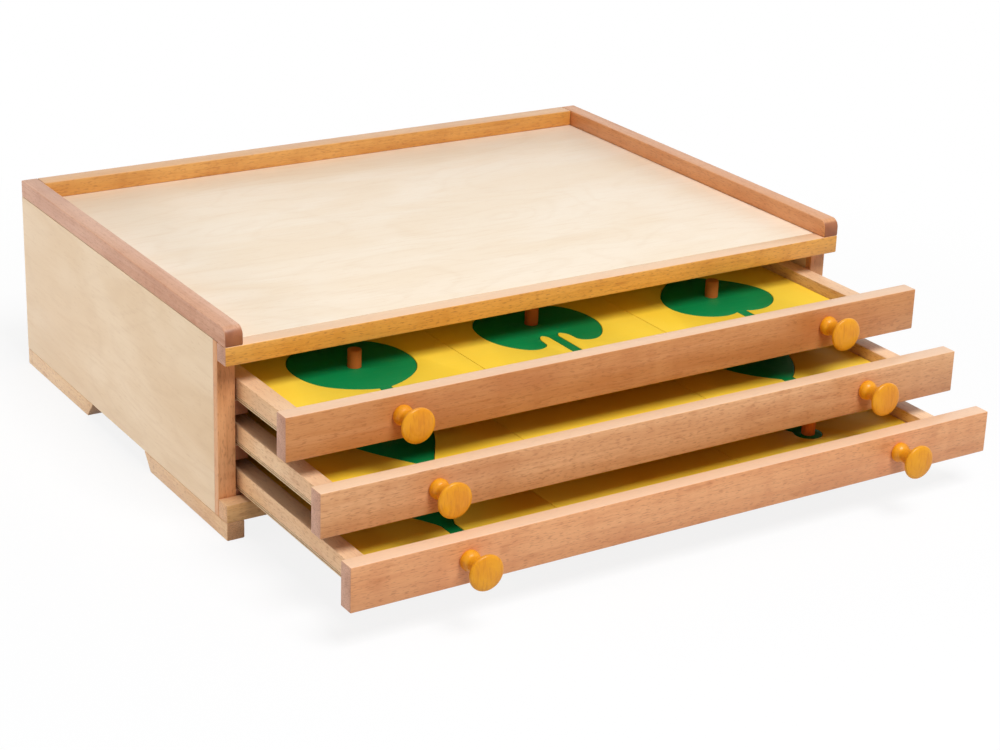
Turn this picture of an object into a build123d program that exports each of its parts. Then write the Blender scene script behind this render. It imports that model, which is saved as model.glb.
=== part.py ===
from build123d import *
import os

# Botanical specimen cabinet: a low beech and birch-ply case with three shallow
# drawers, each holding six square leaf frames whose leaf insets lift out by a peg.
# Millimetres. +X is right, +Y is back, +Z is up, and the cabinet stands on z = 0.
# The origin is on the table, midway along and across the cabinet as it stands
# with its drawers pulled out.

# Leaf frames and their insets
frame_side = 140.0            # a square frame
frame_thick = 4.0             # painted board, for the frame and its leaf alike
frame_play = 0.5              # between frames, and from a frame to the drawer
leaf_play = 0.5               # round a leaf in its hole
stem_margin = 12.0            # from the frame's rim to a stem's end
peg_d = 9.0                   # dowel that a leaf is lifted by
peg_rise = 11.5               # over the leaf
peg_depth = 3.0               # of the blind hole that it is glued into
glue_gap = 0.05               # round the peg in its hole
peg_ease = 0.6                # chamfer of its top
disc_r = 9.4                  # round foot of a leaf that is too narrow for its peg
leaf_unit = 1.0               # one unit of the leaf outlines further down
columns = 3
rows = 2

# Drawers
board = 12.0                  # drawer sides and backs
box_bottom_thick = 2.5        # ply, nailed under the sides
box_h = 14.0                  # with the bottom
front_h = 28.4
front_thick = 11.5
front_drop = 1.5              # of the front below the box
front_overhang = 1.5          # of a front past the carcass, at each end
front_ease = 0.8              # rounding of its long edges
reveal = 1.6                  # over, under and between the closed fronts
closed_gap = 0.3              # from a closed front to the stiles
side_play = 1.5               # from a drawer's side to the carcass
run_gap = 0.3                 # from a drawer to its runners
pulled = {"top": 82.0, "middle": 125.0, "bottom": 161.0}

# Knobs and their screws
knob_reach = 22.0
knob_head_r = 11.25
knob_rim = 3.0
knob_crown = 1.2              # swell of the face over the rim
knob_neck_r = 4.6
knob_bead_r = 6.5             # round bead at the foot, against the drawer's front
knob_bead_h = 6.0
knob_foot_r = 5.6             # where the bead meets the front
knob_from_end = 75.0          # from the carcass's side to a knob's axis
knob_above_middle = 1.5       # of the front's height
screw_r = 1.9
screw_bite = 11.0             # depth of the hole in the knob
screw_short = 0.5             # from the screw's tip to the end of that hole
screw_head_r = 3.6
screw_head_h = 2.2

# Carcass
panel_thick = 12.0            # birch-ply sides, and the stiles' width
stile_depth = 5.5
top_thick = 12.0
lipping_h = 12.4
lipping_depth = 12.0          # of the lipping and of the front rail
top_rail_h = 12.0
top_rail_round = 6.0          # the side rails' upper front corners
gallery_thick = 14.0
rail_ease = 0.8
foot_h = 12.0
foot_front_len = 126.0        # along its top
foot_rear_len = 121.0
foot_slant = 10.0             # by which a foot is shorter at its sole
base_rail_h = 12.0
rear_rail_thick = 12.0
back_thick = 5.0
behind_drawer = 23.5          # free room behind a closed drawer
runner_w = 9.0
runner_h = 9.7
runner_setback = 1.0

# Runner screws and back-panel pins: shank radius, length, head radius, head height
runner_screw = (1.6, 17.0, 3.0, 1.5)
runner_screw_inset = 40.0     # from a runner's end to its screw
back_pin = (0.8, 14.0, 1.6, 0.6)
pin_inset = 6.0               # from the back panel's edge to its pins
pins_per_row = 4
loose_hole = 0.1              # round a shank where it passes through
tight_hole = 0.02             # round a shank where it grips

# Worked-out sizes of the drawers
box_inner_w = columns * frame_side + (columns + 1) * frame_play
box_inner_d = rows * frame_side + (rows + 1) * frame_play
box_w = box_inner_w + 2 * board
box_d = box_inner_d + board
pitch = front_h + reveal

# Worked-out sizes of the carcass
x_in = box_w / 2 + side_play
x_out = x_in + panel_thick
carcass_d = closed_gap + box_d + behind_drawer + back_thick
z_open_low = foot_h + base_rail_h
z_open_high = z_open_low + len(pulled) * pitch + reveal
z_top = z_open_high + lipping_h
z_rail_top = z_top + top_rail_h
reach_forward = closed_gap + max(pulled.values()) + front_thick + knob_reach
y_face = (reach_forward - carcass_d) / 2       # front plane of the stiles
y_lip = y_face - lipping_depth
y_back = y_face + carcass_d
y_back_in = y_back - back_thick
y_runner = (y_face + runner_setback, y_back_in - rear_rail_thick)


def block(x, y, z):
    """A board from its low and high faces along each axis."""
    size = (x[1] - x[0], y[1] - y[0], z[1] - z[0])
    middle = ((x[0] + x[1]) / 2, (y[0] + y[1]) / 2, (z[0] + z[1]) / 2)
    return Pos(*middle) * Box(*size)


def sided(side, near, far):
    """The span from near to far outwards from the middle, on the left (-1) or right (1)."""
    return tuple(sorted((side * near, side * far)))


def flat_head(sizes, play=0.0):
    """Fastener pointing down with its head flush at z = 0, or the hole for it with some play."""
    shank_r, length, head_r, head_h = sizes
    shank = Pos(0, 0, -length / 2) * Cylinder(shank_r + play, length)
    head = Pos(0, 0, -head_h / 2) * Cone(shank_r + play, head_r + play, head_h)
    return shank + head


def bored(board_solid, places, hole):
    """A board with the same hole at each of the places."""
    for place in places:
        board_solid -= place * hole
    return board_solid


# Carcass

def shelf(name):
    """Height of the underside of a drawer's box."""
    below = len(pulled) - 1 - list(pulled).index(name)
    return z_open_low + reveal + below * pitch + front_drop


def runner_screw_places(side, name):
    """Where the two screws of one runner start, on its inner face."""
    z = shelf(name) - run_gap - runner_h / 2
    turn = Rot(0, -90 * side, 0)
    ys = (y_runner[0] + runner_screw_inset, y_runner[1] - runner_screw_inset)
    return [Pos(side * (x_in - runner_w), y, z) * turn for y in ys]


def back_pin_places():
    """Where the pins start, along the foot and the head of the back panel."""
    step = (2 * x_in - 2 * pin_inset) / (pins_per_row - 1)
    heights = (foot_h + pin_inset, z_top - pin_inset)
    turn = Rot(-90, 0, 0)
    xs = [pin_inset - x_in + i * step for i in range(pins_per_row)]
    return [Pos(x, y_back, z) * turn for z in heights for x in xs]


def side_panel(side):
    """Birch-ply side on the feet behind its stile, with pilot holes for the runner screws."""
    panel = block(sided(side, x_in, x_out), (y_face + stile_depth, y_back), (foot_h, z_top))
    places = [p for name in pulled for p in runner_screw_places(side, name)]
    return bored(panel, places, flat_head(runner_screw, tight_hole))


def stile(side):
    """Beech strip that edges the front of a side panel."""
    return block(sided(side, x_in, x_out), (y_face, y_face + stile_depth), (foot_h, z_top))


def top_rail(side):
    """Rail along a side of the top, rounded down at its upper front corner."""
    rail = block(sided(side, x_in, x_out), (y_lip, y_back), (z_top, z_rail_top))
    front_edge = rail.edges().filter_by(Axis.X).group_by(Axis.Z)[-1].sort_by(Axis.Y)[0]
    rail = fillet(front_edge, top_rail_round)
    return fillet(rail.edges().filter_by(Axis.Y).group_by(Axis.Z)[-1], rail_ease)


def foot(side, front):
    """Foot block under a side panel, its inner end cut back towards the sole."""
    end, length, slant = (y_lip, foot_front_len, -foot_slant)
    if not front:
        end, length, slant = (y_back, -foot_rear_len, foot_slant)
    profile = [(end, 0), (end + length + slant, 0), (end + length, foot_h), (end, foot_h)]
    face = Plane.YZ * make_face(Polyline(*profile, close=True))
    return Pos(min(sided(side, x_in, x_out)), 0, 0) * extrude(face, panel_thick)


def top_panel():
    """Birch-ply top, let in between the side panels behind the lipping."""
    panel = block((-x_in, x_in), (y_face, y_back_in), (z_top - top_thick, z_top))
    return bored(panel, back_pin_places(), flat_head(back_pin, tight_hole))


def front_bar(z_low, z_high):
    """Beech bar across the whole front, over the faces of the stiles."""
    bar = block((-x_out, x_out), (y_lip, y_face), (z_low, z_high))
    return fillet(bar.edges().filter_by(Axis.X).group_by(Axis.Y)[0], rail_ease)


def gallery_rail():
    """Rail along the back of the top, between the two side rails."""
    bar = block((-x_in, x_in), (y_back - gallery_thick, y_back), (z_top, z_rail_top))
    return fillet(bar.edges().filter_by(Axis.X).group_by(Axis.Z)[-1], rail_ease)


def rear_rail():
    """Tie rail low down at the back, between the side panels."""
    bar = block((-x_in, x_in), (y_runner[1], y_back_in), (foot_h, z_open_low))
    return bored(bar, back_pin_places(), flat_head(back_pin, tight_hole))


def back_panel():
    """Ply back between the side panels, pinned to the top panel and the rear rail."""
    panel = block((-x_in, x_in), (y_back_in, y_back), (foot_h, z_top))
    return bored(panel, back_pin_places(), flat_head(back_pin, loose_hole))


def runner(side, name):
    """Batten that one side of a drawer runs on."""
    top = shelf(name) - run_gap
    batten = block(sided(side, x_in - runner_w, x_in), y_runner, (top - runner_h, top))
    return bored(batten, runner_screw_places(side, name), flat_head(runner_screw, loose_hole))


# Drawers, each built as it stands pulled out

def drawer_y(name):
    """Where the back of a drawer's front stands."""
    return y_face - closed_gap - pulled[name]


def knob_places(name, y, turn):
    """The axes of a drawer's two knobs at one depth."""
    z = shelf(name) - front_drop + front_h / 2 + knob_above_middle
    x = x_out - knob_from_end
    return [Pos(-x, y, z) * turn, Pos(x, y, z) * turn]


def drawer_front(name):
    """Beech front, a little wider than the carcass, with the screw holes of its knobs."""
    y = drawer_y(name)
    low = shelf(name) - front_drop
    half = x_out + front_overhang
    bar = block((-half, half), (y - front_thick, y), (low, low + front_h))
    bar = fillet(bar.edges().filter_by(Axis.X), front_ease)
    hole = Cylinder(screw_r + loose_hole, 2 * front_thick)
    return bored(bar, knob_places(name, y - front_thick / 2, Rot(90, 0, 0)), hole)


def drawer_wall(name, x, y):
    """Beech side or back of a drawer, standing on its ply bottom."""
    low = shelf(name)
    return block(x, (drawer_y(name) + y[0], drawer_y(name) + y[1]), (low + box_bottom_thick, low + box_h))


def drawer_bottom(name):
    """Ply bottom under the sides and the back."""
    y = drawer_y(name)
    return block((-box_w / 2, box_w / 2), (y, y + box_d), (shelf(name), shelf(name) + box_bottom_thick))


def turned_knob():
    """Mushroom knob turned about Z, its foot on z = 0, with a hole for its screw."""
    shoulder = knob_reach - knob_crown - knob_rim
    rim_top = knob_reach - knob_crown
    inside = knob_head_r - knob_rim / 4
    bead = ThreePointArc((knob_foot_r, 0), (knob_bead_r, knob_bead_h / 3), (knob_neck_r, knob_bead_h))
    cove = TangentArc((knob_neck_r, knob_bead_h), (inside, shoulder), tangent=(0, 1))
    rim = ThreePointArc((inside, shoulder), (knob_head_r, shoulder + knob_rim / 2), (inside, rim_top))
    face = TangentArc((0, knob_reach), (inside, rim_top), tangent=(1, 0))
    core = Polyline((0, knob_reach), (0, 0), (knob_foot_r, 0))
    outline = bead.edges() + cove.edges() + rim.edges() + face.edges() + core.edges()
    knob = revolve(Plane.XZ * make_face(outline), Axis.Z)
    return knob - Pos(0, 0, screw_bite / 2) * Cylinder(screw_r + tight_hole, screw_bite)


def knob_screw():
    """Pan-head screw pointing down, the underside of its head at z = 0."""
    length = front_thick + screw_bite - screw_short
    head = Pos(0, 0, screw_head_h / 2) * Cylinder(screw_head_r, screw_head_h)
    head = chamfer(head.edges().group_by(Axis.Z)[-1], screw_head_h / 2)
    return head + Pos(0, 0, -length / 2) * Cylinder(screw_r, length)


# Leaf forms, in leaf units. Each is the right half of a leaf about the middle of its
# frame, with the stem towards the front: one or more smooth curves from beside the
# stem to the tip, with a corner between curves, and how far the peg is behind the middle.

leaf_forms = {
    "orbiculate": (
        [[(3.7, -25), (21.5, -17), (34.5, -4), (40.3, 18), (36, 38), (21, 54), (0, 59.5)]],
        14.7,
    ),
    "reniform": (
        [[
            (3.3, 0), (7.4, 4.4), (11.3, -1), (13, -11), (20, -14.8),
            (34, -6), (42.4, 20.6), (33, 47), (0, 59),
        ]],
        27.5,
    ),
    "ovate": ([[(3.6, -18), (16, -20.4), (32, -12), (40.3, 4.5), (33.5, 28.5), (15.3, 48), (0, 60)]], 15.7),
    "cordate": ([[(3.6, -14), (8, -22), (18, -25), (32, -17), (39, 1), (30, 28), (13, 49), (0, 60)]], 8.0),
    "deltoid": ([[(3.8, -22), (20, -22.5), (38, -25)], [(38, -25), (31, -6), (19, 22), (0, 59)]], -2.0),
    "hastate": (
        [[(3.7, -20), (18, -22), (38, -26)], [(38, -26), (23, -13), (17, 2), (15, 22), (0, 60)]],
        2.0,
    ),
    "elliptic": ([[(3.7, -36), (14.9, -17.8), (27.8, 6.9), (31, 24), (21, 45), (0, 60)]], 12.0),
    "obovate": ([[(4.4, -28), (19.6, -10.9), (29, 8), (33, 27), (24, 50), (0, 59)]], 18.0),
    "obcordate": ([[(3.8, -34), (13, -18), (30, 5), (38, 32), (32, 48), (20, 55), (8, 51), (0, 42)]], 16.0),
    "sagittate": ([[(3.7, -10), (15, -20), (25, -44)], [(25, -44), (29, -10), (19, 30), (0, 60)]], 4.0),
    "spatulate": ([[(4.4, -24), (15.6, -3), (26, 18), (28, 36), (19, 54), (0, 60)]], 28.0),
    "lanceolate": ([[(7.6, -12), (13.5, 8), (10, 34), (0, 59)]], -17.7),
    "linear": ([[(5.5, -12), (6, 10), (5.7, 34), (4.5, 50), (0, 60)]], -17.7),
    "acicular": ([[(3, -12), (3, 14), (2.2, 40), (0, 60)]], -17.7),
}
round_tips = ("orbiculate", "reniform", "obovate", "spatulate", "linear")
with_disc = ("lanceolate", "linear", "acicular")     # these stand on a disc and have no stem

# The frames of each drawer by rows from the front, each from the left
trays = {
    "top": (("orbiculate", "reniform", "ovate"), ("cordate", "deltoid", "hastate")),
    "middle": (("elliptic", None, "obovate"), ("obcordate", None, "sagittate")),
    "bottom": (("spatulate", None, "lanceolate"), ("linear", None, "acicular")),
}


def leaf_shape(form):
    """The curves of a leaf's right half, and how far its peg is behind the middle."""
    curves, peg_y = leaf_forms[form]
    scaled = [[(x * leaf_unit, y * leaf_unit) for x, y in curve] for curve in curves]
    return scaled, peg_y * leaf_unit


def leaf_face(form):
    """Outline of a leaf about the middle of its frame."""
    curves, peg_y = leaf_shape(form)
    x, y = curves[0][0]
    foot_y = peg_y if form in with_disc else stem_margin - frame_side / 2
    right = Polyline((0, foot_y), (x, foot_y), (x, y)).edges()
    tip = curves[-1]
    if form in round_tips:
        middle = Spline(tip + [(-x, y) for x, y in reversed(tip[:-1])]).edges()
    else:
        middle = Spline(tip).edges()
        middle += [edge.mirror(Plane.YZ) for edge in middle]
    for curve in curves[:-1]:
        right += Spline(curve).edges()
    face = make_face(right + middle + [edge.mirror(Plane.YZ) for edge in right])
    if form in with_disc:
        face += Pos(0, peg_y) * Circle(disc_r)
    return face


def tray_places(name):
    """The form and the middle of each frame in a drawer."""
    step = frame_side + frame_play
    first_y = drawer_y(name) + frame_play + frame_side / 2
    z = shelf(name) + box_bottom_thick
    return [
        (form, Pos((i - 1) * step, first_y + j * step, z))
        for j, row in enumerate(trays[name])
        for i, form in enumerate(row)
    ]


def leaf_frame(form):
    """Square frame with the hole of its leaf, or a plain blank."""
    plate = Pos(0, 0, frame_thick / 2) * Box(frame_side, frame_side, frame_thick)
    if form is None:
        return plate
    hole = offset(leaf_face(form), leaf_play).face().to_splines()
    return plate - extrude(hole, frame_thick)


def leaf_inset(form):
    """Leaf with a blind hole, and the dowel peg glued into it."""
    peg_y = leaf_shape(form)[1]
    leaf = extrude(leaf_face(form), frame_thick)
    floor = frame_thick - peg_depth
    bore = Cylinder(peg_d / 2 + glue_gap, frame_thick)
    leaf -= Pos(0, peg_y, floor + frame_thick / 2) * bore
    length = peg_depth + peg_rise
    peg = Cylinder(peg_d / 2, length)
    peg = chamfer(peg.edges().group_by(Axis.Z)[-1], peg_ease)
    return [leaf, Pos(0, peg_y, floor + length / 2) * peg]


# Every piece by name, one solid or a group of them

pieces = {
    "top_panel": [top_panel()],
    "top_lipping": [front_bar(z_open_high, z_top)],
    "front_rail": [front_bar(foot_h, z_open_low)],
    "gallery_rail": [gallery_rail()],
    "rear_rail": [rear_rail()],
    "back_panel": [back_panel()],
    "back_panel_pins": [place * flat_head(back_pin) for place in back_pin_places()],
    "runner_screws": [
        place * flat_head(runner_screw)
        for name in pulled
        for side in (-1, 1)
        for place in runner_screw_places(side, name)
    ],
}
for hand, side in (("left", -1), ("right", 1)):
    pieces["side_panel_" + hand] = [side_panel(side)]
    pieces["stile_" + hand] = [stile(side)]
    pieces["top_rail_" + hand] = [top_rail(side)]
    pieces["foot_front_" + hand] = [foot(side, True)]
    pieces["foot_rear_" + hand] = [foot(side, False)]
for name in pulled:
    y = drawer_y(name)
    pieces["runners_" + name] = [runner(side, name) for side in (-1, 1)]
    pieces[name + "_drawer_front"] = [drawer_front(name)]
    for hand, side in (("left", -1), ("right", 1)):
        span = sided(side, box_inner_w / 2, box_w / 2)
        pieces[name + "_drawer_side_" + hand] = [drawer_wall(name, span, (0, box_d))]
    span = (-box_inner_w / 2, box_inner_w / 2)
    pieces[name + "_drawer_back"] = [drawer_wall(name, span, (box_inner_d, box_d))]
    pieces[name + "_drawer_bottom"] = [drawer_bottom(name)]
    knob = turned_knob()
    screw = knob_screw()
    pieces[name + "_knobs"] = [p * knob for p in knob_places(name, y - front_thick, Rot(90, 0, 0))]
    pieces[name + "_knob_screws"] = [p * screw for p in knob_places(name, y, Rot(-90, 0, 0))]
    pieces[name + "_leaf_frames"] = [place * leaf_frame(form) for form, place in tray_places(name)]
    for form, place in tray_places(name):
        if form:
            pieces["leaf_" + form] = [place * solid for solid in leaf_inset(form)]

os.makedirs("parts", exist_ok=True)
for name, solids in pieces.items():
    bodies = [body for solid in solids for body in solid.solids()]
    shape = bodies[0] if len(bodies) == 1 else Compound(children=bodies)
    shape.label = name
    export_step(shape, "parts/" + name + ".step")
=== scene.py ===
import math

import bmesh
import bpy
from mathutils import Matrix, Vector


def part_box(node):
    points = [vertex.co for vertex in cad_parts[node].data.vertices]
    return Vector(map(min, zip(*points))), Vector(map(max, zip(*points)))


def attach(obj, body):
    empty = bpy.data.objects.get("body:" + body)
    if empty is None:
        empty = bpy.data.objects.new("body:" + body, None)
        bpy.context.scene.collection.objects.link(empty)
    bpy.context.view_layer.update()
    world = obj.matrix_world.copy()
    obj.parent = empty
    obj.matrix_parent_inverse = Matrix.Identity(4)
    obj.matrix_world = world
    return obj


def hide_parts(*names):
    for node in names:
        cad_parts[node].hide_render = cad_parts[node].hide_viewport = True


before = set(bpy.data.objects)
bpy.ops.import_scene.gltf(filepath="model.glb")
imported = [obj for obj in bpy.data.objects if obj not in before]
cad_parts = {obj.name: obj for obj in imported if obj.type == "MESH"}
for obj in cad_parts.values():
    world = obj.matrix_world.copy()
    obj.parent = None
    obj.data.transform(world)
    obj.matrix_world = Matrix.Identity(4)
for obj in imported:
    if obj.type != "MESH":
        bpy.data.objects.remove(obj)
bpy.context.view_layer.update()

# Side panels: birch plywood, cut square, standing on the feet behind the stiles.
# The faces are pale birch veneer with a faint rolling figure, and the cut edges
# show the plies as light and brown layers.

MM = 0.001
WIDE, DEEP, UP = range(3)    # the cabinet's width, its depth and upwards, as axes
HANDS = ("left", "right")


def screen(red, green, blue):
    """A colour written in 0-255 screen values, as a shader socket takes it."""
    def linear(v):
        v /= 255
        return v / 12.92 if v <= 0.04045 else ((v + 0.055) / 1.055) ** 2.4
    return (linear(red), linear(green), linear(blue), 1.0)


def tones(*colours):
    """The colours of one timber or paint, each written in screen values."""
    return [screen(*colour) for colour in colours]


class Reading:
    """A number that varies over a surface; arithmetic on it adds Math nodes."""

    def __init__(self, wiring, socket):
        self.wiring = wiring
        self.socket = socket

    def maths(self, operation, first, second=0.0):
        made = self.wiring.node("ShaderNodeMath", {"operation": operation}, {0: first, 1: second})
        return Reading(self.wiring, made.outputs[0])

    def __add__(self, other):
        return self.maths("ADD", self, other)

    def __sub__(self, other):
        return self.maths("SUBTRACT", self, other)

    def __rsub__(self, other):
        return self.maths("SUBTRACT", other, self)

    def __mul__(self, other):
        return self.maths("MULTIPLY", self, other)

    def __mod__(self, other):
        return self.maths("FLOORED_MODULO", self, other)

    def __abs__(self):
        return self.maths("ABSOLUTE", self)

    __radd__ = __add__
    __rmul__ = __mul__

    def root(self):
        return self.maths("SQRT", self)

    def or_higher(self, other):
        return self.maths("MAXIMUM", self, other)

    def between(self, low, high):
        """0 below low, 1 above high and a smooth rise between them."""
        made = self.wiring.node(
            "ShaderNodeMapRange",
            {"interpolation_type": "SMOOTHSTEP", "clamp": True},
            {"Value": self, "From Min": low, "From Max": high},
        )
        return Reading(self.wiring, made.outputs[0])


class Wiring:
    """A tree of nodes, filled one node at a time."""

    def __init__(self, tree):
        self.tree = tree
        tree.nodes.clear()

    def node(self, kind, settings=None, sockets=None):
        """Adds a node, sets it up, then gives its sockets their values or links."""
        made = self.tree.nodes.new(kind)
        for key, value in (settings or {}).items():
            setattr(made, key, value)
        for key, value in (sockets or {}).items():
            if isinstance(value, Reading):
                value = value.socket
            if isinstance(value, bpy.types.NodeSocket):
                self.tree.links.new(value, made.inputs[key])
            else:
                made.inputs[key].default_value = value
        return made


class Finish(Wiring):
    """A surface finish, built up as shader nodes on one material."""

    def __init__(self, name):
        self.material = bpy.data.materials.new(name)
        self.material.use_nodes = True
        super().__init__(self.material.node_tree)
        coordinates = self.node("ShaderNodeTexCoord")
        self.place = self.split(coordinates.outputs["Object"])
        self.facing = self.split(coordinates.outputs["Normal"])

    def split(self, vector):
        made = self.node("ShaderNodeSeparateXYZ", {}, {0: vector})
        return [Reading(self, socket) for socket in made.outputs]

    def waves(self, grain, along, across, shift, detail=2.0, distortion=0.0):
        """Soft noise with so many waves a metre along the grain's axis and across it."""
        counts = [across] * 3
        counts[grain] = along
        parts = [self.place[axis] * counts[axis] + shift for axis in (WIDE, DEEP, UP)]
        point = self.node("ShaderNodeCombineXYZ", {}, dict(enumerate(parts))).outputs[0]
        sockets = {"Vector": point, "Scale": 1.0, "Detail": detail, "Distortion": distortion}
        return Reading(self, self.node("ShaderNodeTexNoise", {}, sockets).outputs[0])

    def mix(self, share, first, second):
        made = self.node("ShaderNodeMix", {"data_type": "RGBA"}, {0: share, 6: first, 7: second})
        return made.outputs[2]

    def coats(self, colour, *coats):
        """A colour under thin coats, each the share it covers and its colour."""
        for share, coat in coats:
            colour = self.mix(share, colour, coat)
        return colour

    def surface(self, colour, roughness, height, depth, constants):
        """Closes the material with a principled surface whose bump is depth metres high."""
        relief = {"Height": height, "Distance": depth, "Strength": 1.0}
        bump = self.node("ShaderNodeBump", {}, relief)
        sockets = {"Base Color": colour, "Roughness": roughness, "Normal": bump.outputs[0]}
        body = self.node("ShaderNodeBsdfPrincipled", {}, {**sockets, **constants})
        self.node("ShaderNodeOutputMaterial", {}, {0: body.outputs[0]})
        return self.material


LACQUER = {"Coat Weight": 0.15, "Coat Roughness": 0.3, "Specular IOR Level": 0.3}
LIGHT_PLY, BROWN_PLY, PLY_FIBRE = tones((226, 196, 152), (168, 124, 84), (132, 92, 60))


def birch_ply(name, node, grain, layered, plies, tone, shift):
    """Lacquered birch on the faces of a board, and on its edges plies stacked along an axis."""
    pale, warm, fleck = tone
    low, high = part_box(node)
    ply = (high[layered] - low[layered]) / plies
    finish = Finish(name)
    figure = finish.waves(grain, 7.0, 20.0, shift, 4.0, 0.8)
    cloud = finish.waves(grain, 16.0, 30.0, shift + 5, 3.0)
    flame = finish.waves(grain, 4.0, 12.0, shift + 13, 2.0, 0.5)
    fibre = finish.waves(grain, 34.0, 420.0, shift, 3.0)
    dash = finish.waves(grain, 120.0, 900.0, shift + 9, 1.0)
    growth = abs((flame * 12.0) % 1.0 - 0.5).between(0.28, 0.5)
    face = finish.coats(
        finish.mix(figure.between(0.34, 0.7), pale, warm),
        (cloud.between(0.45, 0.75) * 0.4, warm),
        (growth * 0.09, fleck),
        (fibre.between(0.48, 0.75) * 0.13, fleck),
        (dash.between(0.62, 0.72) * 0.16, fleck),
    )
    pair_of_plies = ((finish.place[layered] - low[layered]) * (0.5 / ply)) % 1.0
    edge = finish.coats(
        finish.mix(pair_of_plies.between(0.46, 0.54), LIGHT_PLY, BROWN_PLY),
        (fibre.between(0.35, 0.8) * 0.4, PLY_FIBRE),
    )
    on_edge = 1.0 - abs(finish.facing[layered]).between(0.5, 0.8)
    colour = finish.mix(on_edge, face, edge)
    return finish.surface(colour, fibre * 0.12 + 0.36, fibre + dash * 0.5, 0.02 * MM, LACQUER)


def finished_mesh(shape, name, crease=35):
    """A mesh with outward faces, smooth except across edges sharper than crease degrees."""
    bmesh.ops.recalc_face_normals(shape, faces=shape.faces)
    mesh = bpy.data.meshes.new(name)
    shape.to_mesh(mesh)
    shape.free()
    mesh.shade_smooth()
    mesh.set_sharp_from_angle(angle=math.radians(crease))
    return mesh


def round_edges(shape, edges, ease, segments=3, clamp=False):
    """Takes edges off with a fine rounding."""
    bmesh.ops.bevel(
        shape, geom=edges, offset=ease, segments=segments, profile=0.5,
        affect="EDGES", clamp_overlap=clamp,
    )


def eased_board(low, high, ease, name):
    """A sawn board between two corners, with all its edges rounded a little."""
    shape = bmesh.new()
    placed = Matrix.Translation((high + low) / 2) @ Matrix.Diagonal((*(high - low), 1))
    bmesh.ops.create_cube(shape, size=1.0, matrix=placed)
    round_edges(shape, shape.edges[:], ease)
    return finished_mesh(shape, name)


def set_out(name, data):
    """A new object in the scene, at the origin."""
    made = bpy.data.objects.new(name, data)
    bpy.context.scene.collection.objects.link(made)
    return made


def add_piece(name, mesh, body, finish=None, node=None):
    """Puts a mesh in the scene, riding on its body and standing for its CAD node."""
    made = set_out(name, mesh)
    if finish:
        mesh.materials.append(finish)
    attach(made, body)
    if node:
        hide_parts(node)


def add_board(name, node, body, finish, ease):
    """A board sawn to the box of a CAD node and put in its place."""
    low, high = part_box(node)
    add_piece(name, eased_board(low, high, ease, node), body, finish, node)


PLY_EASE = 0.4 * MM


def add_ply(name, node, body, grain, layered, plies, tone, shift, ease=PLY_EASE):
    """A plywood board in the place of a CAD node."""
    birch = birch_ply("birch_" + name, node, grain, layered, plies, tone, shift)
    add_board("ply_" + name, node, body, birch, ease)


PANEL_PLIES = 9
SIDE_TONE = tones((248, 221, 186), (238, 206, 166), (210, 170, 128))
for index, hand in enumerate(HANDS):
    node = "side_panel_" + hand
    add_ply("side_" + hand, node, "carcass", DEEP, WIDE, PANEL_PLIES, SIDE_TONE, 2.0 + index)

# Stiles: upright beech strips glued to the front edges of the side panels.
# Steamed beech is pinkish tan, with short dark ray flecks that run with the grain
# on its faces and a dense, darker end grain.

MAUVE_END = tones((216, 166, 138), (194, 142, 114))
# the third colour here is a painted highlight for upward faces, not a colour of the wood
RAY_FLECK, KNOT, PAINTED_TOP_HIGHLIGHT, END_PORE = tones(
    (164, 96, 52), (178, 98, 46), (250, 216, 184), (146, 98, 72))


def beech(name, grain, tone, shift, flecks=1.0, crown=0.35, end_tone=MAUVE_END):
    """Lacquered steamed beech with its grain along one axis, and a painted highlight on its upper
    faces.
    """
    light, mid, dark = tone
    finish = Finish(name)
    rings = finish.waves(grain, 2.5, 60.0, shift, 3.0, 0.4)
    cloud = finish.waves(grain, 12.0, 34.0, shift + 4)
    streak = finish.waves(grain, 22.0, 760.0, shift + 2, 3.0)
    rays = finish.waves(grain, 240.0, 1400.0, shift + 8, 1.0)
    pores = finish.waves(grain, 120.0, 3200.0, shift + 11, 1.0)
    knots = finish.waves(grain, 70.0, 210.0, shift + 15, 1.0)
    ripple = finish.waves(grain, 90.0, 14.0, shift + 17)
    end_pores = finish.waves(grain, 200.0, 1400.0, shift + 6, 1.0)
    face = finish.coats(
        finish.mix(rings.between(0.35, 0.65), light, mid),
        (cloud.between(0.45, 0.75) * 0.5, dark),
        (streak.between(0.4, 0.75) * 0.34, dark),
        (pores.between(0.5, 0.8) * 0.25, dark),
        (ripple.between(0.45, 0.75) * 0.22, dark),
        (rays.between(0.56, 0.68) * (0.36 * flecks), RAY_FLECK),
        (knots.between(0.6, 0.82) * (0.3 * flecks), KNOT),
        # upward faces mix toward a pale colour: a painted highlight standing in for light from
        # above
        (finish.facing[UP].between(0.6, 0.9) * crown, PAINTED_TOP_HIGHLIGHT),
    )
    end = finish.coats(
        finish.mix(rings.between(0.3, 0.7), *end_tone),
        (end_pores.between(0.4, 0.75) * 0.5, END_PORE),
    )
    on_end = abs(finish.facing[grain]).between(0.55, 0.85)
    roughness = streak * 0.14 + 0.32 + on_end * 0.12
    height = streak * 0.6 - rays.between(0.64, 0.72)
    return finish.surface(finish.mix(on_end, face, end), roughness, height, 0.04 * MM, LACQUER)


def add_beech(name, node, body, ease, *wood, **looks):
    """A beech board in the place of a CAD node, with the wood and looks that beech takes."""
    timber = beech("beech_" + name, *wood, **looks)
    add_board("beech_" + name, node, body, timber, ease)


STILE_TONE = tones((240, 180, 128), (230, 166, 110), (202, 130, 78))
for index, hand in enumerate(HANDS):
    node = "stile_" + hand
    add_beech(node, node, "carcass", PLY_EASE, UP, STILE_TONE, 21.0 + index)

# Feet: four beech blocks glued under the side panels, their inner ends cut on a
# slant towards the sole.

SAME_POINT = 0.001 * MM
SAME_PLANE = 0.01    # radians
BEECH_EASE = 0.8 * MM
TAN = tones((246, 208, 162), (238, 194, 146), (214, 160, 112))
TAN_END = tones((232, 182, 134), (210, 154, 106))


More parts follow.
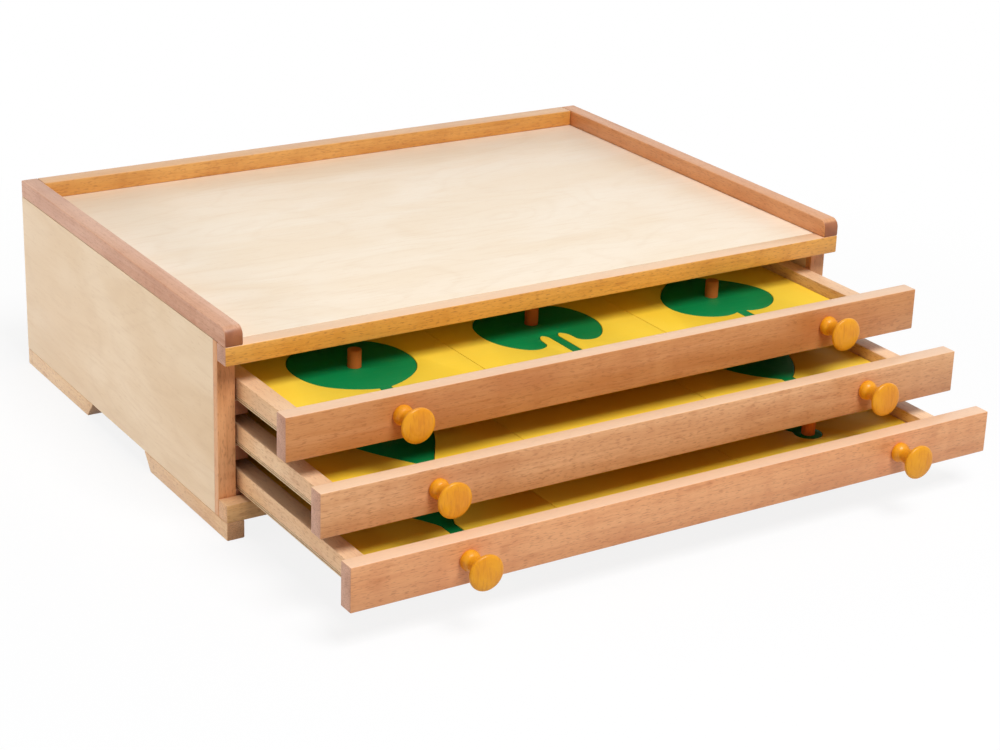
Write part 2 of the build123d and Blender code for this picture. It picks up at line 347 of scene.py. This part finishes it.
def merged_copy(node):
    """The shape of a CAD node with its loose triangles joined."""
    shape = bmesh.new()
    shape.from_mesh(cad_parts[node].data)
    bmesh.ops.remove_doubles(shape, verts=shape.verts, dist=SAME_POINT)
    return shape


def flattened(shape, angle):
    """Joins the faces of a shape that lie in one plane, to within an angle in radians."""
    bmesh.ops.dissolve_limit(shape, angle_limit=angle, verts=shape.verts, edges=shape.edges)
    return shape


for index, corner in enumerate(("front_left", "front_right", "rear_left", "rear_right")):
    node = "foot_" + corner
    shape = flattened(merged_copy(node), SAME_PLANE)
    round_edges(shape, shape.edges[:], BEECH_EASE)
    timber = beech("beech_" + node, DEEP, TAN, 31.0 + index, end_tone=TAN_END)
    add_piece("beech_" + node, finished_mesh(shape, node), "carcass", timber, node)

# Front and rear rails: beech bars that tie the sides together low down. The front
# one lies across the faces of the stiles, and its end grain shows at both sides.

LOW_RAIL_TONE = tones((248, 200, 138), (242, 188, 122), (218, 156, 92))
for index, node in enumerate(("front_rail", "rear_rail")):
    add_beech(node, node, "carcass", BEECH_EASE, WIDE, LOW_RAIL_TONE, 41.0 + index,
              end_tone=TAN_END)

# Top: a birch-ply panel let in between the sides, with a beech lipping glued
# along its front edge. The lipping runs out over the stiles.

TOP_TONE = tones((253, 237, 215), (249, 229, 202), (226, 192, 152))
LIPPING_TONE = tones((238, 176, 86), (228, 162, 68), (200, 128, 46))
add_ply("top", "top_panel", "carcass", WIDE, UP, PANEL_PLIES, TOP_TONE, 51.0)
# the lipping's upper face carries a strong painted highlight
add_beech("lipping", "top_lipping", "carcass", BEECH_EASE, WIDE, LIPPING_TONE, 57.0,
          flecks=1.4, crown=0.75)

# Rails round the top: two side rails whose upper front corners are rounded off,
# and a back rail between them, glued down on the panel so that nothing rolls off.

RAIL_ROUND = 6.0 * MM
ARC_STEPS = 8
QUARTER = math.pi / 2    # a quarter of a turn
RAIL_CORNER = 40         # degrees; the rounded corner's own steps turn less
RAIL_TONES = {
    "left": tones((224, 172, 140), (212, 154, 118), (184, 120, 84)),
    "right": tones((228, 164, 114), (216, 146, 90), (188, 112, 62)),
}
# end grain for the top rails and runners: partly the darker tone of end grain, partly painted
# shade on their front-facing ends
RAIL_END_WITH_SHADE = tones((172, 108, 72), (140, 82, 52))
BACK_RAIL_TONE = tones((230, 170, 94), (220, 154, 74), (192, 120, 50))


def skin(shape, lower, upper):
    """Faces between two rings of points, either of which may be a single point."""
    steps = max(len(lower), len(upper))
    for step in range(steps):
        after = (step + 1) % steps
        corners = [lower[step % len(lower)], lower[after % len(lower)]]
        corners += [upper[after % len(upper)], upper[step % len(upper)]]
        shape.faces.new(list(dict.fromkeys(corners)))


def sharp_edges(shape, angle):
    """The edges of a shape where its faces turn by more than so many degrees."""
    return [edge for edge in shape.edges if edge.calc_face_angle(0) > math.radians(angle)]


def side_rail(node):
    """A rail with a rounded upper front corner, drawn from the side and made solid."""
    low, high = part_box(node)
    centre = Vector((0, low.y + RAIL_ROUND, high.z - RAIL_ROUND))
    outline = [Vector((0, y, z)) for y, z in ((low.y, low.z), (high.y, low.z), (high.y, high.z))]
    for step in range(ARC_STEPS + 1):
        turn = QUARTER * (1 + step / ARC_STEPS)
        outline.append(centre + RAIL_ROUND * Vector((0, math.cos(turn), math.sin(turn))))
    shape = bmesh.new()
    ends = [[shape.verts.new((x, p.y, p.z)) for p in outline] for x in (low.x, high.x)]
    for end in ends:
        shape.faces.new(end)
    skin(shape, *ends)
    bmesh.ops.recalc_face_normals(shape, faces=shape.faces)
    round_edges(shape, sharp_edges(shape, RAIL_CORNER), BEECH_EASE)
    return finished_mesh(shape, node)


for index, hand in enumerate(HANDS):
    node = "top_rail_" + hand
    # the rails' upper faces carry only a faint painted highlight
    timber = beech("beech_" + node, DEEP, RAIL_TONES[hand], 61.0 + index,
                   crown=0.1, end_tone=RAIL_END_WITH_SHADE)
    add_piece("beech_" + node, side_rail(node), "carcass", timber, node)
add_beech("back_rail", "gallery_rail", "carcass", BEECH_EASE, WIDE, BACK_RAIL_TONE, 67.0)

# Back: a thin birch-ply panel let in behind the top and the rear rail, and fixed
# with flat-headed steel pins.

THIN_PLIES = 3
BACK_TONE = tones((232, 208, 172), (220, 192, 152), (190, 156, 116))
add_ply("back", "back_panel", "carcass", WIDE, DEEP, THIN_PLIES, BACK_TONE, 71.0)


def steel(name, bright, dark, shift):
    """Zinc-plated steel, dulled and lightly scratched."""
    finish = Finish(name)
    cloud = finish.waves(WIDE, 700.0, 700.0, shift, 3.0)
    scratch = finish.waves(WIDE, 400.0, 6000.0, shift + 3)
    colour = finish.mix(cloud.between(0.35, 0.7), bright, dark)
    return finish.surface(colour, scratch * 0.25 + 0.25, scratch, 0.01 * MM, {"Metallic": 1.0})


def ring(shape, radius, height, steps):
    """Points of a shape on a circle about Z."""
    angles = [2 * math.pi * step / steps for step in range(steps)]
    return [shape.verts.new((radius * math.cos(a), radius * math.sin(a), height)) for a in angles]


def turned(profile, steps, name):
    """A mesh turned about Z from (radius, height) pairs, from the axis round to the axis."""
    shape = bmesh.new()
    rings = [ring(shape, radius, height, steps if radius else 1) for radius, height in profile]
    for lower, upper in zip(rings, rings[1:]):
        skin(shape, lower, upper)
    return finished_mesh(shape, name)


def millimetres(pairs):
    """A profile that is written in millimetres, in metres."""
    return [(radius * MM, height * MM) for radius, height in pairs]


def reached_from(start):
    """The points of a shape that edges join to the starting ones, after those themselves."""
    seen = set(start)
    reached = list(start)
    for vert in reached:
        for edge in vert.link_edges:
            other = edge.other_vert(vert)
            if other not in seen:
                seen.add(other)
                reached.append(other)
    return reached


def solids_of(node):
    """The lowest and highest corners of each separate solid in a CAD node."""
    shape = merged_copy(node)
    taken = set()
    boxes = []
    for first in shape.verts:
        if first in taken:
            continue
        solid = reached_from([first])
        taken.update(solid)
        boxes.append([Vector([outermost(v.co[axis] for v in solid) for axis in (WIDE, DEEP, UP)])
                      for outermost in (min, max)])
    shape.free()
    return boxes


def fastener_tree():
    """Geometry nodes that set one fastener at every point, turned about itself at random."""
    tree = bpy.data.node_groups.new("fasteners", "GeometryNodeTree")
    inputs = {"Geometry": "Geometry", "Fastener": "Object", "Finish": "Material", "Seed": "Int"}
    for name, kind in inputs.items():
        tree.interface.new_socket(name, in_out="INPUT", socket_type="NodeSocket" + kind)
    tree.interface.new_socket("Geometry", in_out="OUTPUT", socket_type="NodeSocketGeometry")
    add = Wiring(tree).node
    given = add("NodeGroupInput").outputs
    fastener = add("GeometryNodeObjectInfo", {}, {"Object": given["Fastener"]})
    way = add("GeometryNodeInputNamedAttribute", {"data_type": "FLOAT_VECTOR"}, {"Name": "way"})
    aim = add("FunctionNodeEulerToRotation", {}, {"Euler": way.outputs["Attribute"]})
    spin = add("FunctionNodeRandomValue", {}, {"Max": 4 * QUARTER, "Seed": given["Seed"]})
    spun = add("FunctionNodeAxisAngleToRotation", {}, {"Angle": spin.outputs["Value"]})
    both = add(
        "FunctionNodeRotateRotation",
        {"rotation_space": "LOCAL"},
        {"Rotation": aim.outputs["Rotation"], "Rotate By": spun.outputs["Rotation"]},
    )
    placed = add("GeometryNodeInstanceOnPoints", {}, {
        "Points": given["Geometry"],
        "Instance": fastener.outputs["Geometry"],
        "Rotation": both.outputs["Rotation"],
    })
    real = add("GeometryNodeRealizeInstances", {}, {"Geometry": placed.outputs["Instances"]})
    coat = {"Geometry": real.outputs["Geometry"], "Material": given["Finish"]}
    coated = add("GeometryNodeSetMaterial", {}, coat)
    add("NodeGroupOutput", {}, {"Geometry": coated.outputs["Geometry"]})
    return tree


FASTENERS = fastener_tree()


def set_fasteners(name, places, fastener, finish, seed):
    """A plain mesh of one fastener at each (point, turn), made by the fastener tree."""
    mesh = bpy.data.meshes.new(name)
    mesh.from_pydata([point for point, way in places], [], [])
    ways = mesh.attributes.new("way", "FLOAT_VECTOR", "POINT")
    for spot, (point, way) in zip(ways.data, places):
        spot.vector = way
    carrier = set_out(name + "_points", mesh)
    pattern = set_out(name + "_pattern", fastener)
    nodes = carrier.modifiers.new("fasteners", "NODES")
    nodes.node_group = FASTENERS
    given = {"Fastener": pattern, "Finish": finish, "Seed": seed}
    for item in FASTENERS.interface.items_tree:
        if item.in_out == "INPUT" and item.name in given:
            nodes[item.identifier] = given[item.name]
    bpy.context.view_layer.update()
    built = carrier.evaluated_get(bpy.context.evaluated_depsgraph_get())
    made = bpy.data.meshes.new_from_object(built)
    carrier.modifiers.clear()
    for used in (carrier, pattern):
        bpy.data.objects.remove(used)
    return made


PIN_PROFILE = ((0, 0), (1.28, 0), (1.6, -0.15), (0.8, -0.6), (0.8, -13), (0, -14))
PIN_STEPS = 16
HEAD_BACK = (-QUARTER, 0, 0)    # the turn that faces a fastener's head to the back
pin_steel = steel("steel_pins", *tones((196, 196, 194), (150, 150, 150)), 77.0)
pin = turned(millimetres(PIN_PROFILE), PIN_STEPS, "pin")
places = []
for low, high in solids_of("back_panel_pins"):
    middle = (low + high) / 2
    places.append(((middle.x, high.y, middle.z), HEAD_BACK))
mesh = set_fasteners("back_pins", places, pin, pin_steel, 3)
add_piece("steel_back_pins", mesh, "carcass", node="back_panel_pins")

# Runners: beech battens screwed to the inner faces of the side panels with
# countersunk cross-head screws. The drawers slide on them.

SCREW_STEPS = 24
ARM, HALF_ARM = 0.62, 0.16     # the cross recess, as shares of the head's radius
RECESS_TAPER = 0.7
DRAWERS = ("top", "middle", "bottom")
# the runners' tone is beech darkened further as painted shade, for where they sit under the
# lipping and between the drawers
RUNNER_TONE_WITH_SHADE = tones((190, 134, 88), (176, 118, 72), (146, 90, 48))


def cross_head(head, shank, head_height, length, recess, name):
    """A countersunk screw with a cross recess pressed into its head."""
    shape = bmesh.new()
    profile = [(head, 0), (shank, -head_height), (shank, -length + 2 * shank)]
    profile.append((0.3 * shank, -length))
    rings = [ring(shape, radius, height, SCREW_STEPS) for radius, height in profile]
    for upper, lower in zip(rings, rings[1:]):
        skin(shape, upper, lower)
    shape.faces.new(rings[-1])
    arm, half = ARM * head, HALF_ARM * head
    cross = []
    for quarter in range(4):
        turn = Matrix.Rotation(quarter * QUARTER, 4, "Z")
        cross += [turn @ Vector((x, y, 0)) for x, y in ((arm, -half), (arm, half), (half, half))]
    rim = [shape.verts.new(point) for point in cross]
    floor = [shape.verts.new(point * RECESS_TAPER - Vector((0, 0, recess))) for point in cross]
    skin(shape, rim, floor)
    shape.faces.new(floor)
    edges = []
    for line in (rings[0], rim):
        edges += [shape.edges.get(pair) for pair in zip(line, line[1:] + line[:1])]
    bmesh.ops.triangle_fill(shape, use_beauty=True, use_dissolve=False, edges=edges)
    return finished_mesh(shape, name)


def joined(meshes, name, crease=35):
    """Several meshes as one."""
    shape = bmesh.new()
    for mesh in meshes:
        shape.from_mesh(mesh)
        bpy.data.meshes.remove(mesh)
    return finished_mesh(shape, name, crease)


screw_steel = steel("steel_runner_screws", *tones((206, 202, 186), (160, 156, 140)), 81.0)
runner_screw = cross_head(head=3.0 * MM, shank=1.6 * MM, head_height=1.5 * MM,
                          length=17 * MM, recess=1.1 * MM, name="runner_screw")
places = []
for low, high in solids_of("runner_screws"):
    middle = (low + high) / 2
    side = 1 if middle.x > 0 else -1
    inner = low.x if side > 0 else high.x
    places.append(((inner, middle.y, middle.z), (0, -side * QUARTER, 0)))
mesh = set_fasteners("runner_screws", places, runner_screw, screw_steel, 5)
add_piece("steel_runner_screws", mesh, "carcass", node="runner_screws")

for index, drawer in enumerate(DRAWERS):
    node = "runners_" + drawer
    battens = [eased_board(low, high, PLY_EASE, node) for low, high in solids_of(node)]
    timber = beech("beech_" + node, DEEP, RUNNER_TONE_WITH_SHADE, 84.0 + index, end_tone=RAIL_END_WITH_SHADE)
    add_piece("beech_" + node, joined(battens, node), "carcass", timber, node)

# Drawer boxes: beech sides and back, 12 mm thick, standing on a thin birch-ply
# bottom that is nailed up under them. The front is a wider beech board whose long
# edges are rounded and whose end grain shows.

FRONT_TONES = {
    "top": tones((226, 164, 110), (214, 148, 90), (188, 112, 56)),
    "middle": tones((236, 182, 132), (224, 165, 114), (198, 130, 78)),
    "bottom": tones((238, 174, 122), (230, 160, 107), (206, 128, 80)),
}
BOTTOM_TONE = tones((176, 136, 100), (162, 122, 86), (132, 94, 62))
BOTTOM_EASE = 0.2 * MM
NAIL_PROFILE = ((0, 0.02), (0.9, 0.02), (1.1, -0.1), (0.6, -0.4), (0.6, -8), (0, -9))
NAIL_STEPS = 12
NAIL_INSET = 6 * MM
NAIL_SPACING = 48 * MM
HEAD_DOWN = (math.pi, 0, 0)


def nail_places(low, high):
    """Points round the underside of a drawer bottom, over the middle of its walls."""
    left, right = low.x + NAIL_INSET, high.x - NAIL_INSET
    near, far = low.y + NAIL_INSET, high.y - NAIL_INSET
    across = round((right - left) / NAIL_SPACING)
    deep = round((far - near) / NAIL_SPACING)
    points = [(left + (right - left) * step / across, far) for step in range(across + 1)]
    for x in (left, right):
        points += [(x, near + (far - near) * step / deep) for step in range(deep)]
    return [((x, y, low.z), HEAD_DOWN) for x, y in points]


nail_steel = steel("steel_nails", *tones((188, 188, 186), (140, 140, 140)), 99.0)
nail = turned(millimetres(NAIL_PROFILE), NAIL_STEPS, "nail")
for index, drawer in enumerate(DRAWERS):
    body = "drawer_" + drawer
    box = drawer + "_drawer_"
    shift = 91.0 + 13 * index
    # the fronts' upper edges carry a strong painted highlight
    add_beech("front_" + drawer, box + "front", body, BEECH_EASE, WIDE, FRONT_TONES[drawer],
              shift, crown=0.7)
    for wall, grain in (("side_left", DEEP), ("side_right", DEEP), ("back", WIDE)):
        add_beech(drawer + "_" + wall, box + wall, body, PLY_EASE, grain, TAN, shift + 1 + grain)
    places = nail_places(*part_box(box + "bottom"))
    add_ply("bottom_" + drawer, box + "bottom", body, WIDE, UP, THIN_PLIES, BOTTOM_TONE,
            shift + 5, BOTTOM_EASE)
    mesh = set_fasteners("nails_" + drawer, places, nail, nail_steel, 7 + index)
    add_piece("steel_nails_" + drawer, mesh, body)

# Knobs: turned hardwood mushrooms under amber varnish, two to a drawer, each held
# by a pan-head screw from inside the drawer. The lathe leaves fine rings on the face.

KNOB_REACH = 22.0      # this and the knob's other sizes are in millimetres
KNOB_HEAD = 11.25      # radius
KNOB_RIM = 3.0
KNOB_CROWN = 1.2
RIM_ROUND = 1.3
FOOT = 5.4
BEAD, BEAD_HEIGHT = 6.5, 6.0
NECK = 4.6
FACE_RADII = (9.5, 9.1, 8.9, 8.7, 7.4, 6.2, 6.0, 5.8, 4.6, 3.3, 3.1, 2.9, 1.6, 0.7, 0)
GROOVES, GROOVE_DEPTH = (8.9, 6.0, 3.1), 0.03
KNOB_STEPS = 72
KNOB_CREASE = 60
VARNISH = {"Coat Weight": 0.2, "Coat Roughness": 0.14, "Specular IOR Level": 0.3}
PAN_HEIGHT = 2.2
PAN_PROFILE = ((0, PAN_HEIGHT), (2.5, 2.18), (3.1, 1.65), (3.55, 1.1), (3.6, 0.1), (3.4, 0),
               (1.9, 0), (1.9, -19), (0, -21))


def knob_profile():
    """Radius and height up the knob, from its foot to its face."""
    points = [(0, 0), (FOOT, 0)]
    for step in range(1, 10):
        share = step / 10
        swell = math.sin(math.pi * (0.28 + 0.72 * share)) ** 0.8
        points.append((NECK + (BEAD - NECK) * swell, BEAD_HEIGHT * share))
    shoulder = KNOB_REACH - KNOB_CROWN - KNOB_RIM
    wide = KNOB_HEAD - RIM_ROUND
    flare, rise = wide - NECK, shoulder - BEAD_HEIGHT
    sweep = (flare ** 2 + rise ** 2) / (2 * flare)
    for step in range(13):
        turn = math.asin(rise / sweep) * step / 12
        points.append((NECK + sweep * (1 - math.cos(turn)), BEAD_HEIGHT + sweep * math.sin(turn)))
    for step in range(1, 11):
        turn = math.pi * step / 10 - QUARTER
        height = shoulder + KNOB_RIM / 2 * (1 + math.sin(turn))
        points.append((wide + RIM_ROUND * math.cos(turn), height))
    for radius in FACE_RADII:
        groove = GROOVE_DEPTH if radius in GROOVES else 0.0
        points.append((radius, KNOB_REACH - KNOB_CROWN * (radius / KNOB_HEAD) ** 2 - groove))
    return millimetres(points)


def amber_varnish(name, shift):
    """Hardwood under amber varnish, its grain running upright across the knob's face."""
    finish = Finish(name)
    glow = finish.waves(UP, 60.0, 60.0, shift)
    figure = finish.waves(UP, 90.0, 700.0, shift + 3, 2.0, 0.5)
    fibre = finish.waves(UP, 160.0, 2400.0, shift + 6, 1.0)
    colour = finish.coats(
        finish.mix(glow.between(0.35, 0.65), screen(242, 164, 16), screen(232, 148, 10)),
        (figure.between(0.45, 0.75) * 0.4, screen(204, 112, 4)),
        (fibre.between(0.5, 0.75) * 0.25, screen(246, 176, 30)),
    )
    return finish.surface(colour, fibre * 0.12 + 0.34, fibre + figure, 0.02 * MM, VARNISH)


pan_screw = turned(millimetres(PAN_PROFILE), SCREW_STEPS, "pan_screw")
for index, drawer in enumerate(DRAWERS):
    body = "drawer_" + drawer
    knobs = []
    for low, high in solids_of(drawer + "_knobs"):
        middle = (low + high) / 2
        knob = turned(knob_profile(), KNOB_STEPS, "knob")
        foot = Matrix.Translation((middle.x, high.y, middle.z))
        knob.transform(foot @ Matrix.Rotation(QUARTER, 4, "X"))
        knobs.append(knob)
    mesh = joined(knobs, "knobs_" + drawer, KNOB_CREASE)
    amber = amber_varnish("amber_knobs_" + drawer, 131.0 + 9 * index)
    add_piece("turned_knobs_" + drawer, mesh, body, amber, drawer + "_knobs")
    places = []
    for low, high in solids_of(drawer + "_knob_screws"):
        middle = (low + high) / 2
        places.append(((middle.x, high.y - PAN_HEIGHT * MM, middle.z), HEAD_BACK))
    node = drawer + "_knob_screws"
    mesh = set_fasteners("knob_screws_" + drawer, places, pan_screw, screw_steel, 11 + index)
    add_piece("steel_knob_screws_" + drawer, mesh, body, node=node)

# Leaf frames: square boards painted a bright yellow, three across and two deep in
# each drawer. Fourteen have a leaf cut out and four are plain.

PAINT_EASE = 0.3 * MM
PAINT_FLAT = 0.005       # radians, finer than on the feet to keep the leaves' curves
OUTLINE_CORNER = 50      # degrees between an outline's wall and its face
OUTLINE_CREASE = 40
YELLOW = tones((253, 216, 70), (251, 209, 57), (255, 230, 126))


def eased_outline(shape, name):
    """A board cut to an outline, with its face edges rounded under the paint."""
    flattened(shape, PAINT_FLAT)
    round_edges(shape, sharp_edges(shape, OUTLINE_CORNER), PAINT_EASE, segments=2, clamp=True)
    return finished_mesh(shape, name, OUTLINE_CREASE)


def paint(name, tone, shift, sheen):
    """Brushed eggshell paint on fine board, with a little wear and brush drag."""
    main, deep, worn = tone
    finish = Finish(name)
    cloud = finish.waves(WIDE, 16.0, 16.0, shift)
    drag = finish.waves(WIDE, 30.0, 900.0, shift + 4)
    specks = finish.waves(WIDE, 900.0, 900.0, shift + 8, 1.0)
    colour = finish.coats(
        finish.mix(cloud.between(0.35, 0.7), main, deep),
        (drag.between(0.5, 0.8) * 0.18, deep),
        (specks.between(0.7, 0.78) * 0.3, worn),
    )
    height = drag * 0.7 + specks * 0.5
    return finish.surface(colour, drag * 0.15 + sheen, height, 0.03 * MM,
                          {"Specular IOR Level": 0.2})


def outward_copy(node):
    """The joined shape of a CAD node, its faces turned outwards."""
    shape = merged_copy(node)
    bmesh.ops.recalc_face_normals(shape, faces=shape.faces)
    return shape


for index, drawer in enumerate(DRAWERS):
    node = drawer + "_leaf_frames"
    yellow = paint("yellow_frames_" + drawer, YELLOW, 151.0 + 7 * index, 0.42)
    mesh = eased_outline(outward_copy(node), node)
    add_piece("yellow_frames_" + drawer, mesh, "drawer_" + drawer, yellow, node)

# Leaf insets: boards cut to fourteen leaf forms and painted green, each lifted by
# a dowel peg glued into it. A leaf too narrow for its peg has a disc at its foot.

GREEN = tones((0, 126, 66), (0, 114, 56), (40, 150, 92))
TERRACOTTA = tones((212, 116, 50), (198, 98, 36), (228, 146, 86))
PEG_RADIUS = 4.5 * MM
PEG_EASE = 0.7 * MM
PEG_STEPS = 48
PEG_ARC_STEPS = 4


def peg_profile(length):
    """Radius and height up a peg whose upper edge is rounded."""
    points = [(0, 0), (PEG_RADIUS, 0), (PEG_RADIUS, length - PEG_EASE)]
    for step in range(1, PEG_ARC_STEPS + 1):
        turn = QUARTER * step / PEG_ARC_STEPS
        radius = PEG_RADIUS - PEG_EASE + PEG_EASE * math.cos(turn)
        points.append((radius, length - PEG_EASE + PEG_EASE * math.sin(turn)))
    return points + [(0, length)]


green = paint("green_leaf", GREEN, 171.0, 0.45)
terracotta = paint("terracotta_peg", TERRACOTTA, 177.0, 0.45)
for node in sorted(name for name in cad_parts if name.startswith("leaf_")):
    body = node.replace("leaf_", "inset_")
    shape = outward_copy(node)
    top = max(v.co.z for v in shape.verts)
    peg_top = [v for v in shape.verts if abs(v.co.z - top) < 0.1 * MM]
    centre = sum((v.co for v in peg_top), Vector()) / len(peg_top)
    peg = reached_from(peg_top)
    foot = min(v.co.z for v in peg)
    bmesh.ops.delete(shape, geom=peg, context="VERTS")
    add_piece("green_" + node, eased_outline(shape, node), body, green, node)
    mesh = turned(peg_profile(top - foot), PEG_STEPS, node + "_peg")
    mesh.transform(Matrix.Translation((centre.x, centre.y, foot)))
    add_piece("peg_" + node, mesh, body, terracotta)

# Studio: a white floor that runs out of sight, one large soft lamp in front and
# above, low fills from the left and behind, and the camera where the photograph
# was taken from.

FLOOR_REACH = 12.0
FLOOR_GLOW = 0.86              # the floor's share of plain white close to the cabinet
WHITE = screen(255, 255, 255)
bpy.context.scene.view_settings.view_transform = "Standard"


def seen(wiring):
    """1 for a ray from the camera, a mirror or glass, and 0 for one that gathers light."""
    rays = wiring.node("ShaderNodeLightPath").outputs
    looks = ("Is Camera Ray", "Is Glossy Ray", "Is Transmission Ray")
    straight, mirrored, through = [Reading(wiring, rays[look]) for look in looks]
    return straight.or_higher(mirrored).or_higher(through)


shape = bmesh.new()
bmesh.ops.create_grid(shape, x_segments=1, y_segments=1, size=FLOOR_REACH)
floor_mesh = finished_mesh(shape, "floor")
floor = set_out("floor", floor_mesh)
sweep = Finish("white_floor")
white = sweep.mix(sweep.waves(WIDE, 3.0, 3.0, 0.0), screen(252, 252, 253), screen(250, 251, 253))
shown = seen(sweep)
paper = sweep.mix(shown, screen(218, 218, 220), white)
matt = sweep.node("ShaderNodeBsdfDiffuse", {}, {"Color": paper})
glow = sweep.node("ShaderNodeEmission", {}, {"Color": WHITE, "Strength": 1.0})
reach = (sweep.place[WIDE] * sweep.place[WIDE] + sweep.place[DEEP] * sweep.place[DEEP]).root()
share = shown * (FLOOR_GLOW + (1.0 - FLOOR_GLOW) * reach.between(0.3, 0.7))
both = sweep.node("ShaderNodeMixShader", {}, {0: share, 1: matt.outputs[0], 2: glow.outputs[0]})
sweep.node("ShaderNodeOutputMaterial", {}, {0: both.outputs[0]})
floor_mesh.materials.append(sweep.material)

world = bpy.data.worlds.new("studio")
bpy.context.scene.world = world
world.use_nodes = True
sky = Wiring(world.node_tree)
ambient = sky.node("ShaderNodeBackground", {}, {"Color": screen(250, 252, 255), "Strength": 0.19})
backdrop = sky.node("ShaderNodeBackground", {}, {"Color": WHITE, "Strength": 1.0})
choice = {0: seen(sky), 1: ambient.outputs[0], 2: backdrop.outputs[0]}
chosen = sky.node("ShaderNodeMixShader", {}, choice)
sky.node("ShaderNodeOutputWorld", {}, {0: chosen.outputs[0]})


def soft_lamp(name, place, aim, width, height, power, shine=True):
    """A softbox facing a point, not seen itself, and without shine not mirrored either."""
    lamp = bpy.data.lights.new(name, "AREA")
    lamp.shape = "RECTANGLE"
    lamp.size = width
    lamp.size_y = height
    lamp.energy = power
    made = set_out(name, lamp)
    made.location = place
    made.rotation_euler = (Vector(aim) - Vector(place)).to_track_quat("-Z", "Y").to_euler()
    made.visible_camera = False
    made.visible_glossy = shine


soft_lamp("key", place=(0.1, -1.38, 2.28), aim=(0, 0, 0.08),
          width=1.2, height=1.1, power=59.5)
soft_lamp("left", place=(-2.0, 0.8, 0.3), aim=(-0.2, 0.1, 0.07),
          width=1.2, height=0.5, power=17.5, shine=False)
soft_lamp("back", place=(1.3, 1.9, 0.5), aim=(0.0, 0.15, 0.08),
          width=1.2, height=0.6, power=11.0, shine=False)

CAMERA_PLACE = Vector((-0.776, -1.2177, 0.6226))
CAMERA_TURN = 32.54          # degrees off the front, to the left
CAMERA_DOWN = 20.36          # degrees below level
CAMERA_ROLL = 1.9            # degrees
SENSOR = 36.0
LENS_PIXELS = 2258.2
IMAGE = (1000, 750)
MIDDLE = (493.9, 310.5)      # where the lens axis meets the photograph
camera = bpy.data.cameras.new("camera")
camera.sensor_width = SENSOR
camera.lens = SENSOR * LENS_PIXELS / IMAGE[0]
camera.shift_x = (IMAGE[0] / 2 - MIDDLE[0]) / IMAGE[0]
camera.shift_y = (MIDDLE[1] - IMAGE[1] / 2) / IMAGE[0]
eye = set_out("camera", camera)
eye.location = CAMERA_PLACE
turn = Matrix.Rotation(math.radians(-CAMERA_TURN), 3, "Z")
tilt = Matrix.Rotation(math.radians(90 - CAMERA_DOWN), 3, "X")
roll = Matrix.Rotation(math.radians(CAMERA_ROLL), 3, "Z")
eye.rotation_euler = (turn @ tilt @ roll).to_euler()
bpy.context.scene.camera = eye
